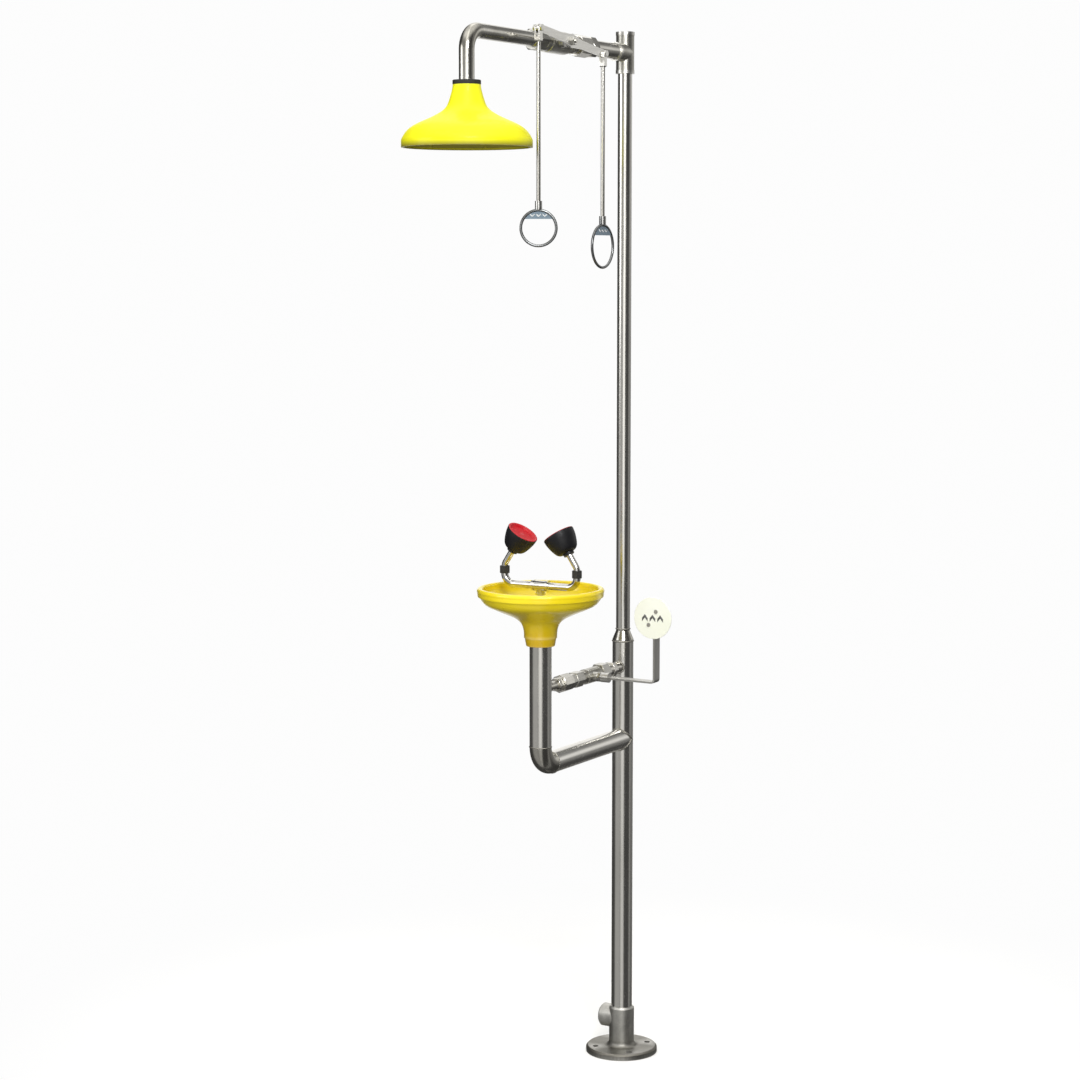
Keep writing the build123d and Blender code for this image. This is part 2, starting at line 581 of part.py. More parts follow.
def union_end():
    """Collar held by the nut, then a hexagon and the pipe that meets the riser."""
    face = TAIL_FACE_S + UNION_SEAL_T
    hex_start, hex_end = SUPPLY_HEX_S
    end = stepped([(TAIL_R - 0.1, face, face + 4), (SUPPLY_END_R, face, hex_start + 1)])
    end += flats(27, hex_start, hex_end) + rod(EYEWASH_THREAD_R, hex_end - 1, BOWL_S)
    end = end - rod(6.5, face - 4, BOWL_S) - rod(YOKE_TUBE_R + FIT, INNER_SUPPLY_S - 1, BOWL_S + 1)
    end = along_arm(end, BRANCH_Z)
    return end - upright(rod(COLUMN_R + FIT, BRANCH_Z - 40, BRANCH_Z + 40), BOWL_S)


def make_branch_fittings():
    write("branch_nipple", branch_nipple())
    write("eyewash_union_tail", union_tail())
    write("eyewash_union_end", union_end())
    start, end = EYEWASH_NUT_S
    nut = flats(37, start, end, sides=8) - rod(TAIL_R + FIT, start - 2, TAIL_FACE_S + UNION_SEAL_T + 4)
    nut -= rod(SUPPLY_END_R + FIT, start - 2, end + 1)
    write("eyewash_union_nut", along_arm(nut, BRANCH_Z))


def inner_supply_pipe():
    """Tube through the riser's wall that turns up its middle and rises to the yoke tee."""
    turn_r = 12.0
    bend_s = BOWL_S - turn_r
    run = Line((0, -INNER_SUPPLY_S, BRANCH_Z), (0, -bend_s, BRANCH_Z))
    bend = arm_bend(bend_s, BOWL_S, BRANCH_Z, turn_r)
    rise = Line((0, -BOWL_S, BRANCH_Z + turn_r), (0, -BOWL_S, YOKE_Z - 10))
    return swept_tube(Wire([run, bend, rise]), YOKE_TUBE_R, YOKE_BORE_R)


def gaskets():
    """Flat rings in both unions and the sleeve between the bowl's neck and the riser."""
    shower = along_arm(tube(17, WATERWAY_R, UNION_FACE_S, UNION_FACE_S + UNION_SEAL_T), SHOWER_Z)
    eyewash = along_arm(tube(14, 8, TAIL_FACE_S, TAIL_FACE_S + UNION_SEAL_T), BRANCH_Z)
    bowl = upright(tube(BOWL_NECK_R - FIT, COLUMN_R + FIT, BOWL_BOTTOM_Z, RISER_TOP_Z), BOWL_S)
    return Compound([shower, eyewash, bowl])


# --- yoke and nozzles ---------------------------------------------------------------------------------
def yoke_tee():
    """Tee with a banded socket at each end, on top of the supply tube."""
    level = Plane(origin=(0, 0, YOKE_Z), x_dir=(0, 1, 0), z_dir=(1, 0, 0))
    socket_r = YOKE_TUBE_R + FIT
    tee = level * stepped([(11, -20, 20), (12, -20, -14), (12, 14, 20)])
    tee += rod(10.4, YOKE_Z - 20, YOKE_Z - 2) + rod(11.6, YOKE_Z - 20, YOKE_Z - 15)
    for side in (-1, 1):
        tee -= level * Pos(0, 0, side * 15.5) * rod(socket_r, -5.5, 5.5)
    tee -= level * rod(YOKE_BORE_R, -20, 20)
    tee -= rod(YOKE_BORE_R - 0.5, YOKE_Z - 12, YOKE_Z)
    tee -= rod(socket_r, YOKE_Z - 21, YOKE_Z - 10)
    return upright(tee, BOWL_S)


FITTING_START_Z = YOKE_Z + YOKE_BEND_R
STEM_START_Z = FITTING_START_Z + YOKE_FITTING_H - 6
NOZZLE_SIN = sin(radians(NOZZLE_TILT))
NOZZLE_COS = cos(radians(NOZZLE_TILT))
STEM_END = NOZZLE_DEPTH - 2             # how far the stem's end lies behind the rim
STEM_BEND_X = NOZZLE_BEND_R * (1 - NOZZLE_COS)
STEM_SLANT = (YOKE_ARM_X - NOZZLE_RIM_X - STEM_END * NOZZLE_SIN - STEM_BEND_X) / NOZZLE_SIN
STEM_BEND_Z = FITTING_START_Z + YOKE_FITTING_H
NOZZLE_RIM_Z = STEM_BEND_Z + NOZZLE_BEND_R * NOZZLE_SIN + (STEM_SLANT + STEM_END) * NOZZLE_COS


def nozzle_plane(side):
    """Plane at a nozzle's rim centre whose z leaves the nozzle."""
    return Plane(origin=(side * NOZZLE_RIM_X, -BOWL_S, NOZZLE_RIM_Z), x_dir=(NOZZLE_COS, 0, side * NOZZLE_SIN),
                 z_dir=(-side * NOZZLE_SIN, 0, NOZZLE_COS))


def yoke_point(side, distance, height):
    """Point in the yoke's plane, at a distance to one side of the bowl's axis."""
    return (side * distance, -BOWL_S, height)


def yoke_tube(side):
    """Level tube out of the tee, then a bend up to the fitting."""
    corner = YOKE_ARM_X - YOKE_BEND_R
    reach = YOKE_BEND_R * sin(pi / 4)
    run = Line(yoke_point(side, 10, YOKE_Z), yoke_point(side, corner, YOKE_Z))
    bend = ThreePointArc(yoke_point(side, corner, YOKE_Z),
                         yoke_point(side, corner + reach, FITTING_START_Z - reach),
                         yoke_point(side, YOKE_ARM_X, FITTING_START_Z))
    rise = Line(yoke_point(side, YOKE_ARM_X, FITTING_START_Z), yoke_point(side, YOKE_ARM_X, STEM_START_Z - 2))
    return swept_tube(Wire([run, bend, rise]), YOKE_TUBE_R, YOKE_BORE_R)


def yoke_fitting(side):
    """Short hexagon coupling between a yoke tube and a nozzle stem."""
    end = FITTING_START_Z + YOKE_FITTING_H
    fitting = flats(21, FITTING_START_Z, end, chamfer=0.8)
    fitting -= rod(YOKE_BORE_R, FITTING_START_Z - 1, end + 1)
    fitting -= rod(YOKE_TUBE_R + FIT, FITTING_START_Z - 1, STEM_START_Z - 2)
    fitting -= rod(YOKE_TUBE_R + FIT, STEM_START_Z, end + 1)
    return Pos(side * YOKE_ARM_X, -BOWL_S, 0) * fitting


def nozzle_stem(side):
    """Tube that leaves the fitting upwards and leans in to the nozzle's base."""
    half = radians(NOZZLE_TILT) / 2
    bend_x = YOKE_ARM_X - STEM_BEND_X
    bend_z = STEM_BEND_Z + NOZZLE_BEND_R * NOZZLE_SIN
    rise = Line(yoke_point(side, YOKE_ARM_X, STEM_START_Z), yoke_point(side, YOKE_ARM_X, STEM_BEND_Z))
    bend = ThreePointArc(yoke_point(side, YOKE_ARM_X, STEM_BEND_Z),
                         yoke_point(side, YOKE_ARM_X - NOZZLE_BEND_R * (1 - cos(half)),
                                    STEM_BEND_Z + NOZZLE_BEND_R * sin(half)),
                         yoke_point(side, bend_x, bend_z))
    slant = Line(yoke_point(side, bend_x, bend_z),
                 yoke_point(side, bend_x - STEM_SLANT * NOZZLE_SIN, bend_z + STEM_SLANT * NOZZLE_COS))
    return swept_tube(Wire([rise, bend, slant]), YOKE_TUBE_R - 1, YOKE_BORE_R - 1)


def nozzle_cup():
    """Rounded cup made about +Z, with its rim at z = 0 and a neck behind its base."""
    base, seat, floor = -NOZZLE_DEPTH, -DISC_TOP, -38.5
    stem = YOKE_TUBE_R - 1 + FIT
    outer = Spline((16.5, base), (27, -34), (32.7, -17), (CUP_R, 0), tangents=((1, 0.25), (0.05, 1)))
    inner = Spline((5, floor), (20.5, -32), (28, seat - 7), tangents=((1, 0), (0.2, 1)))
    return turned_edges(
        Line((stem, -STEM_END), (stem, base - 6)),
        Line((stem, base - 6), (12, base - 6)),
        Line((12, base - 6), (12, base)),
        Line((12, base), (16.5, base)),
        outer,
        Line((CUP_R, 0), (CAP_R + CLEAR, 0)),
        Line((CAP_R + CLEAR, 0), (CAP_R + CLEAR, seat)),
        Line((CAP_R + CLEAR, seat), (DISC_R + 0.1, seat)),
        Line((DISC_R + 0.1, seat), (DISC_R + 0.1, seat - 7)),
        Line((DISC_R + 0.1, seat - 7), (28, seat - 7)),
        inner,
        Line((5, floor), (5, -STEM_END)),
        Line((5, -STEM_END), (stem, -STEM_END)),
    )


def spray_disc():
    """Perforated disc that spreads the soft stream inside a cup."""
    bottom = -DISC_TOP - 7
    disc = rod(DISC_R, bottom, bottom + 3)
    for ring in range(1, 5):
        for step in range(6 * ring):
            angle = 2 * pi * step / (6 * ring)
            disc -= Pos(6.2 * ring * cos(angle), 6.2 * ring * sin(angle), 0) * rod(1.1, bottom - 1, bottom + 4)
    return disc


def dust_cap():
    """Dished cap that plugs a cup's mouth and pops off when the water comes."""
    bottom = 0.1 - DISC_TOP
    return turned((0, bottom), (CAP_R - 1, bottom), (CAP_R, bottom + 1), (CAP_R, -1.2), (CAP_R - 0.6, -0.6),
                  (CAP_R - 3.3, -0.6), (CAP_R - 5.5, -3.2), (0, -3.8))


def make_yoke():
    write("yoke_tee", yoke_tee())
    sides = (-1, 1)
    write("yoke_tubes", Compound([yoke_tube(side) for side in sides] + [nozzle_stem(side) for side in sides]))
    write("yoke_fittings", Compound([yoke_fitting(side) for side in sides]))
    write("nozzle_cups", Compound([nozzle_plane(side) * nozzle_cup() for side in sides]))
    write("spray_discs", Compound([nozzle_plane(side) * spray_disc() for side in sides]))
    write("left_dust_cap", nozzle_plane(-1) * dust_cap())
    write("right_dust_cap", nozzle_plane(1) * dust_cap())


# --- bowl and waste -----------------------------------------------------------------------------------
def bowl_shell():
    """Shallow bowl with a rolled lip and a flared neck, drawn with its foot at z = 0."""
    neck = Line((36, 0), (36, 6))
    outside = Spline((36, 6), (43, 32), (68, 49), (110, 67), (127, 80), (134.5, 90), (137, 99),
                     tangents=((0.02, 1), (0.05, 1)))
    lip = ThreePointArc((137, 99), (132.5, 108.5), (125, 105))
    inside = Spline((125, 105), (125.5, 97), (120, 83), (106, 71.5), (68, 53.5), (43, 39.5), (BOWL_NECK_R, 17),
                    tangents=((0.05, -1), (0, -1)))
    bore = Line((BOWL_NECK_R, 17), (BOWL_NECK_R, 0))
    foot = Line((BOWL_NECK_R, 0), (36, 0))
    return Pos(0, 0, BOWL_BOTTOM_Z) * turned_edges(neck, outside, lip, inside, bore, foot)


def bowl_collar():
    """Ring under the bowl that grips the riser."""
    bottom, top = BOWL_BOTTOM_Z - 18, BOWL_BOTTOM_Z
    return turned((COLUMN_R + FIT, bottom), (30.6, bottom), (31.4, bottom + 1), (34.4, top - 1), (34.4, top),
                  (COLUMN_R + FIT, top))


def drain_strainer():
    """Perforated disc on top of the riser, round the supply tube."""
    disc = tube(BOWL_NECK_R - FIT, YOKE_TUBE_R + FIT, RISER_TOP_Z, RISER_TOP_Z + 2)
    for ring, count in ((14.5, 8), (20.0, 12), (26.0, 16)):
        for step in range(count):
            angle = 2 * pi * step / count
            disc -= Pos(ring * cos(angle), ring * sin(angle), 0) * rod(1.8, RISER_TOP_Z - 1, RISER_TOP_Z + 3)
    return disc


def make_waste():
    write("bowl_shell", upright(bowl_shell(), BOWL_S))
    write("bowl_collar", upright(bowl_collar(), BOWL_S))
    write("drain_strainer", upright(drain_strainer(), BOWL_S))
    inner = COLUMN_R - COLUMN_WALL
    riser = upright(tube(COLUMN_R, inner, DRAIN_Z + DRAIN_BEND_R, RISER_TOP_Z), BOWL_S)
    riser -= along_arm(rod(YOKE_TUBE_R + FIT, INNER_SUPPLY_S - 6, BOWL_S), BRANCH_Z)
    write("bowl_riser_pipe", riser)
    bend_start = BOWL_S - DRAIN_BEND_R
    write("drain_elbow", swept_tube(arm_bend(bend_start, BOWL_S, DRAIN_Z, DRAIN_BEND_R), COLUMN_R, inner))
    arm = along_arm(tube(COLUMN_R, inner, 10, bend_start), DRAIN_Z)
    write("drain_arm_pipe", arm - rod(COLUMN_R + FIT, DRAIN_Z - 40, DRAIN_Z + 40))


# --- push handle --------------------------------------------------------------------------------------
HUB_END_X = 54.0
TAB_T = 3.0
TAB_FRONT_Y = -EYEWASH_VALVE_S - HANDLE_BAR_W / 2 - TAB_T
PLATE_SCREWS = (-15.0, 15.0)


def push_handle_bar():
    """Hub on the stem, a bent flat bar and the tab that carries the plate, welded together."""
    hub = rod(11, EYEWASH_VALVE["drive_x"], HUB_END_X)
    bore = extrude(drive_section(EYEWASH_VALVE, FIT), EYEWASH_VALVE["stem_end_x"] + 1)
    hub = along_stem(hub - bore, EYEWASH_VALVE_S, BRANCH_Z)
    half = HANDLE_BAR_T / 2
    tab_top = PLATE_Z + 28
    level = Pos((HUB_END_X + HANDLE_X + half) / 2, BRANCH_Z) * Rectangle(HANDLE_X + half - HUB_END_X, 2 * half)
    rise = Pos(HANDLE_X, (BRANCH_Z - half + tab_top) / 2) * Rectangle(2 * half, tab_top - BRANCH_Z + half)
    outline = level + rise
    outline = fillet(outline.vertices().sort_by_distance((HANDLE_X + half, BRANCH_Z - half, 0))[0], 9)
    outline = fillet(outline.vertices().sort_by_distance((HANDLE_X - half, BRANCH_Z + half, 0))[0], 5)
    bar = Pos(0, -EYEWASH_VALVE_S, 0) * extrude(Plane.XZ * outline, HANDLE_BAR_W / 2, both=True)
    tab = Pos(HANDLE_X, TAB_FRONT_Y + TAB_T / 2, PLATE_Z) * Box(32, TAB_T, 56)
    tab = fillet(tab.edges().filter_by(Axis.Y), 4)
    weldment = hub + bar + tab
    for offset in PLATE_SCREWS:
        weldment -= Pos(HANDLE_X + offset * 0.6, 0, PLATE_Z + offset) * Rot(90, 0, 0) * rod(2.55, 0, 400)
    set_hole = Pos((HUB_END_X + 34) / 2, -EYEWASH_VALVE_S, 0)
    return weldment - set_hole * rod(2.5, BRANCH_Z, BRANCH_Z + 20)


def push_plate():
    """Round plate that a hand or forearm pushes."""
    plate = rod(PLATE_R, 0, PLATE_T)
    plate = fillet(plate.edges().filter_by(GeomType.CIRCLE), 1)
    for offset in PLATE_SCREWS:
        plate -= Pos(offset * 0.6, offset, 0) * rod(2.55, -1, PLATE_T + 1)
    return Plane(origin=(HANDLE_X, TAB_FRONT_Y, PLATE_Z), x_dir=(1, 0, 0), z_dir=(0, -1, 0)) * plate


def push_handle_screws():
    """Two screws and nuts for the plate, and the set screw in the hub."""
    solids = []
    for offset in PLATE_SCREWS:
        screw = rod(2.45, -TAB_T - 6, PLATE_T + 0.5) + rod(4.6, PLATE_T, PLATE_T + 2.2)
        screw -= Pos(0, 0, PLATE_T + 2.2) * Box(10, 1.2, 2)
        nut = flats(8, -TAB_T - 4, -TAB_T, chamfer=0.5) - rod(2.5, -TAB_T - 5, 0)
        place = Plane(origin=(HANDLE_X + offset * 0.6, TAB_FRONT_Y, PLATE_Z + offset), x_dir=(1, 0, 0),
                      z_dir=(0, -1, 0))
        solids += [place * screw, place * nut]
    flat_top = BRANCH_Z + 0.75 * EYEWASH_VALVE["stem_r"]
    set_screw = rod(2.45, flat_top + FIT, BRANCH_Z + 10.5)
    set_screw -= Pos(0, 0, BRANCH_Z + 8.5) * extrude(RegularPolygon(1.3, 6), 3)
    solids.append(Pos((HUB_END_X + 34) / 2, -EYEWASH_VALVE_S, 0) * set_screw)
    return Compound(solids)


def make_push_handle():
    write("push_handle_bar", push_handle_bar())
    write("push_plate", push_plate())
    write("push_handle_screws", push_handle_screws())


# --- everything ---------------------------------------------------------------------------------------
make_pedestal()
make_valve(SHOWER_VALVE)
make_valve(EYEWASH_VALVE)
write("gland_nuts", Compound([valve_gland_nut(SHOWER_VALVE), valve_gland_nut(EYEWASH_VALVE)]))
write("gaskets", gaskets())
make_shower_union()
write("rocker_lever", rocker_lever())
write("rocker_nut", rocker_nut())
make_pull_rod(1, OUTER_RING)
make_pull_rod(-1, INNER_RING)
make_shower_pipe()
make_shower_head()
make_branch_fittings()
write("inner_supply_pipe", inner_supply_pipe())
make_yoke()
make_waste()
make_push_handle()
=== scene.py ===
"""Looks of a combination drench shower and eyewash station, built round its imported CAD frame.

Metres, +Z up. Both arms leave the column along -Y and the valve stems point along +X.
"""

import bmesh
import bpy
import json
import math
import random
from mathutils import Matrix, Vector


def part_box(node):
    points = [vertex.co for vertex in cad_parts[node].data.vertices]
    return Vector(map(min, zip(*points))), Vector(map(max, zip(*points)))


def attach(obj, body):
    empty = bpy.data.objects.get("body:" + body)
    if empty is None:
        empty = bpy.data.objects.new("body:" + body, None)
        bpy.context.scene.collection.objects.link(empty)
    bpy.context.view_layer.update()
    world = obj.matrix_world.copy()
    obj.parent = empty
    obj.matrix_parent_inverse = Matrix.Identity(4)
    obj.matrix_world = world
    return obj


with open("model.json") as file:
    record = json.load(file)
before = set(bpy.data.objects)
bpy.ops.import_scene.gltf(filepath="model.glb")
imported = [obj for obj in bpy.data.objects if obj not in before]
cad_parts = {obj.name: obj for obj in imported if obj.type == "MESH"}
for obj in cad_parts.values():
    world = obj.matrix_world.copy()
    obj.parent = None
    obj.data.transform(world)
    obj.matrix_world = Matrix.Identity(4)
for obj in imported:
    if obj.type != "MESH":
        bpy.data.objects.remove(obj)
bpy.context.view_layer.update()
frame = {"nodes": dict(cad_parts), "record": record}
random.seed(7)

MM = 0.001
X_AXIS, Z_AXIS = Vector((1, 0, 0)), Vector((0, 0, 1))


# --- places taken from the frame ----------------------------------------------------------------------
def low(node):
    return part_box(node)[0]


def high(node):
    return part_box(node)[1]


def middle(node):
    return (low(node) + high(node)) / 2


COLUMN_R = high("column_reducer").x
SUPPLY_R = high("upper_column_pipe").x
SHOWER_Z = middle("arm_nipple").z
BRANCH_Z = middle("branch_nipple").z
DRAIN_Z = middle("drain_arm_pipe").z
BOWL_Y = middle("bowl_shell").y
BOSS_R = 13.5 * MM          # branch boss on the column
PORT_R = 10.5 * MM          # supply pipe where it enters the riser
STEM_END_R = 4.5 * MM       # free end of the rocker's stem
RING_TURNS = {"outer": 30, "inner": 90}     # degrees about the rods
RING_PLATE_T = 3 * MM
NOZZLE_RIM_X = 44.5 * MM    # middle of a cup's rim, to either side
CUP_R, CAP_R = 35 * MM, 32.2 * MM     # rim of a cup, edge of the cap inside it
CUP_TILT = math.radians(33)             # lean of both cups towards each other


# --- node helpers -------------------------------------------------------------------------------------
def scaled(colour, factor):
    return tuple(channel * factor for channel in colour)


class Nodes:
    """A node tree that grows one call at a time."""

    def __init__(self, tree):
        self.tree = tree

    def put(self, socket, value):
        """Link a socket, or set a plain value, into an input."""
        if isinstance(value, bpy.types.NodeSocket):
            self.tree.links.new(value, socket)
        else:
            socket.default_value = value

    def add(self, kind, settings=None, **inputs):
        """Add a node, set its own settings, and set or link its inputs by name."""
        node = self.tree.nodes.new(kind)
        for key, value in (settings or {}).items():
            setattr(node, key, value)
        for key, value in inputs.items():
            self.put(node.inputs[key.replace("_", " ")], value)
        return node

    def remap(self, value, start, end, to_start=0.0, to_end=1.0, curve="LINEAR"):
        return self.add("ShaderNodeMapRange", {"interpolation_type": curve}, Value=value, From_Min=start,
                        From_Max=end, To_Min=to_start, To_Max=to_end).outputs["Result"]

    def math(self, operation, first, second):
        node = self.add("ShaderNodeMath", {"operation": operation})
        self.put(node.inputs[0], first)
        self.put(node.inputs[1], second)
        return node.outputs[0]

    def vector(self, operation, first, second=None, output="Vector"):
        node = self.add("ShaderNodeVectorMath", {"operation": operation})
        self.put(node.inputs[0], first)
        if second is not None:
            self.put(node.inputs[1], second)
        return node.outputs[output]


class Finish(Nodes):
    """A material built on the principled shader."""

    def __init__(self, name, **shader_values):
        self.material = bpy.data.materials.new(name)
        self.material.use_nodes = True
        super().__init__(self.material.node_tree)
        self.shader = self.tree.nodes["Principled BSDF"]
        for socket, value in shader_values.items():
            self.shader.inputs[socket.replace("_", " ")].default_value = value
        self.place = self.add("ShaderNodeTexCoord").outputs["Object"]

    def noise(self, scale, detail=4.0, stretch=(1, 1, 1), roughness=0.55, distortion=0.0):
        """Noise with its scale in cycles per metre, stretched along the axes with small factors."""
        place = self.add("ShaderNodeMapping", Vector=self.place, Scale=stretch).outputs["Vector"]
        return self.add("ShaderNodeTexNoise", Vector=place, Scale=scale, Detail=detail, Roughness=roughness,
                        Distortion=distortion).outputs["Fac"]

    def ramp(self, value, *stops):
        """Colour ramp from (position, colour) stops."""
        node = self.add("ShaderNodeValToRGB", Fac=value)
        elements = node.color_ramp.elements
        while len(elements) < len(stops):
            elements.new(0.5)
        for element, (position, colour) in zip(elements, stops):
            element.position = position
            element.color = (*colour, 1)
        return node.outputs["Color"]

    def mix(self, factor, first, second):
        """Blend of two colours."""
        node = self.add("ShaderNodeMix", {"data_type": "RGBA"})
        for socket, value in ((node.inputs[0], factor), (node.inputs[6], first), (node.inputs[7], second)):
            self.put(socket, (*value, 1) if isinstance(value, tuple) else value)
        return node.outputs[2]

    def feed(self, socket, value):
        self.tree.links.new(value, self.shader.inputs[socket])

    def bump(self, *layers):
        """Stack bumps given as (height, strength, distance in metres)."""
        normal = None
        for height, strength, distance in layers:
            node = self.add("ShaderNodeBump", Height=height, Strength=strength, Distance=distance)
            if normal is not None:
                self.tree.links.new(normal, node.inputs["Normal"])
            normal = node.outputs["Normal"]
        self.feed("Normal", normal)

    def paint_shade_by_height(self, tone, drift, start, end, colour):
        """Painted shade: blend from its colour at the start height to tone at the end height, on an uneven
        border.
        """
        height = self.add("ShaderNodeSeparateXYZ", Vector=self.place).outputs["Z"]
        uneven = (end - start) * 0.15
        drifted = self.math("ADD", height, self.remap(drift, 0.2, 0.8, -uneven, uneven))
        return self.mix(self.remap(drifted, start, end, 1.0, 0.0), tone, colour)

    def edges(self, start=0.52, end=0.62):
        """How much a point stands out on an edge, from 0 to 1."""
        geometry = self.add("ShaderNodeNewGeometry").outputs["Pointiness"]
        return self.remap(geometry, start, end)


def steel(name, dark, light, rough, grain, grain_scale=900.0, line_depth=0.00002, cloud=9.0, spots=0.15):
    """Stainless steel with drawn lines, cloudy polish, handling marks and brighter worn edges."""
    finish = Finish(name, Metallic=1.0, IOR=2.5)
    lines = finish.noise(grain_scale, 3.0, grain, 0.6)
    clouds = finish.noise(cloud, 5.0, (1, 1, 0.35), 0.6, 0.3)
    marks = finish.noise(140.0, 6.0, (1, 1, 1), 0.7, 1.2)
    tone = finish.ramp(clouds, (0.3, dark), (0.7, light))
    tone = finish.mix(finish.remap(lines, 0.35, 0.75, 0.0, 0.30), tone, scaled(dark, 0.55))
    tone = finish.mix(finish.remap(marks, 0.60, 0.78, 0.0, spots), tone, scaled(dark, 0.45))
    tone = finish.mix(finish.math("MULTIPLY", finish.edges(), 0.6), tone, (0.86, 0.85, 0.82))
    finish.feed("Base Color", tone)
    roughness = finish.remap(lines, 0.3, 0.8, rough[0], rough[1])
    roughness = finish.math("ADD", roughness, finish.remap(clouds, 0.35, 0.75, -0.03, 0.06))
    finish.feed("Roughness", finish.math("ADD", roughness, finish.remap(marks, 0.55, 0.8, 0.0, 0.12)))
    finish.bump((lines, 0.35, line_depth), (marks, 0.18, line_depth * 2))
    return finish.material


def cast_metal(name, dark, light, rough=(0.24, 0.46), shade=None, rubbed=0.7):
    """Satin casting: fine pitted skin with darker hollows and rubbed high spots.

    The shade argument is (start height, end height, colour at the start): painted shade that darkens the
    casting low down.
    """
    finish = Finish(name, Metallic=1.0, IOR=2.5)
    skin = finish.noise(420.0, 8.0, (1, 1, 1), 0.7)
    pits = finish.add("ShaderNodeTexVoronoi", {"feature": "F1"}, Vector=finish.place, Scale=650.0)
    hollows = finish.remap(pits.outputs["Distance"], 0.0, 0.45)
    clouds = finish.noise(22.0, 5.0, (1, 1, 1), 0.6, 0.4)
    tone = finish.ramp(clouds, (0.3, dark), (0.72, light))
    # painted shade: the casting darkens towards its low end
    if shade:
        tone = finish.paint_shade_by_height(tone, clouds, *shade)
    tone = finish.mix(finish.remap(skin, 0.35, 0.7, 0.35, 0.0), tone, scaled(dark, 0.5))
    tone = finish.mix(finish.math("MULTIPLY", finish.edges(), rubbed), tone, (0.84, 0.83, 0.80))
    finish.feed("Base Color", tone)
    finish.feed("Roughness", finish.remap(skin, 0.3, 0.75, *rough))
    finish.bump((skin, 0.45, 0.00012), (hollows, 0.25, 0.00006))
    return finish.material


def moulded(name, deep, bright, coat, rough, pore_depth=0.00004, shade=None, scuff=0.35, shine=0.5):
    """Moulded or enamelled plastic: a slight tone drift, orange-peel skin, fine scratches and rubbed edges.

    The shade argument is (start height, end height, colour at the start): painted shade that darkens the piece
    towards one end.
    """
    finish = Finish(name, IOR=1.5, Coat_Weight=coat, Coat_Roughness=0.08, Specular_IOR_Level=shine)
    drift = finish.noise(7.0, 4.0, (1, 1, 1), 0.55, 0.4)
    peel = finish.noise(360.0, 3.0, (1, 1, 1), 0.5)
    scratches = finish.noise(260.0, 5.0, (1, 0.06, 0.5), 0.65, 0.8)
    dust = finish.noise(60.0, 8.0, (1, 1, 1), 0.72, 0.3)
    tone = finish.ramp(drift, (0.32, deep), (0.68, bright))
    # painted shade: the piece darkens towards one end
    if shade:
        tone = finish.paint_shade_by_height(tone, drift, *shade)
    tone = finish.mix(finish.remap(dust, 0.58, 0.8, 0.0, 0.18), tone, scaled(deep, 0.62))
    lifted = tuple(c + (1 - c) * 0.45 for c in bright)
    tone = finish.mix(finish.math("MULTIPLY", finish.edges(), scuff), tone, lifted)
    finish.feed("Base Color", tone)
    roughness = finish.remap(scratches, 0.35, 0.75, rough[0], rough[1])
    finish.feed("Roughness", finish.math("ADD", roughness, finish.remap(dust, 0.5, 0.8, 0.0, 0.1)))
    finish.bump((peel, 0.3, pore_depth), (scratches, 0.12, pore_depth))
    return finish.material


def flat_part(name, deep, bright, rough):
    """Dull soft part, such as rubber or a seat ring, with a fine grain and paler rubbed patches."""
    finish = Finish(name, IOR=1.48)
    grain = finish.noise(700.0, 5.0, (1, 1, 1), 0.65)
    bloom = finish.noise(45.0, 6.0, (1, 1, 1), 0.6, 0.5)
    finish.feed("Base Color", finish.ramp(bloom, (0.3, deep), (0.75, bright)))
    finish.feed("Roughness", finish.remap(grain, 0.3, 0.7, rough[0], rough[1]))
    finish.bump((grain, 0.4, 0.00005))
    return finish.material


# --- materials ----------------------------------------------------------------------------------------
ALONG_Z, ALONG_Y, ALL_WAYS = (1, 1, 0.012), (1, 0.012, 1), (1, 1, 1)
PIPE_DARK, PIPE_LIGHT = (0.34, 0.325, 0.285), (0.60, 0.585, 0.54)
FITTING_DARK, FITTING_LIGHT = (0.42, 0.405, 0.36), (0.72, 0.70, 0.65)
BOWL_LOW, BOWL_HIGH = low("bowl_shell").z, high("bowl_shell").z
HEAD_LOW = low("shower_head_shell").z

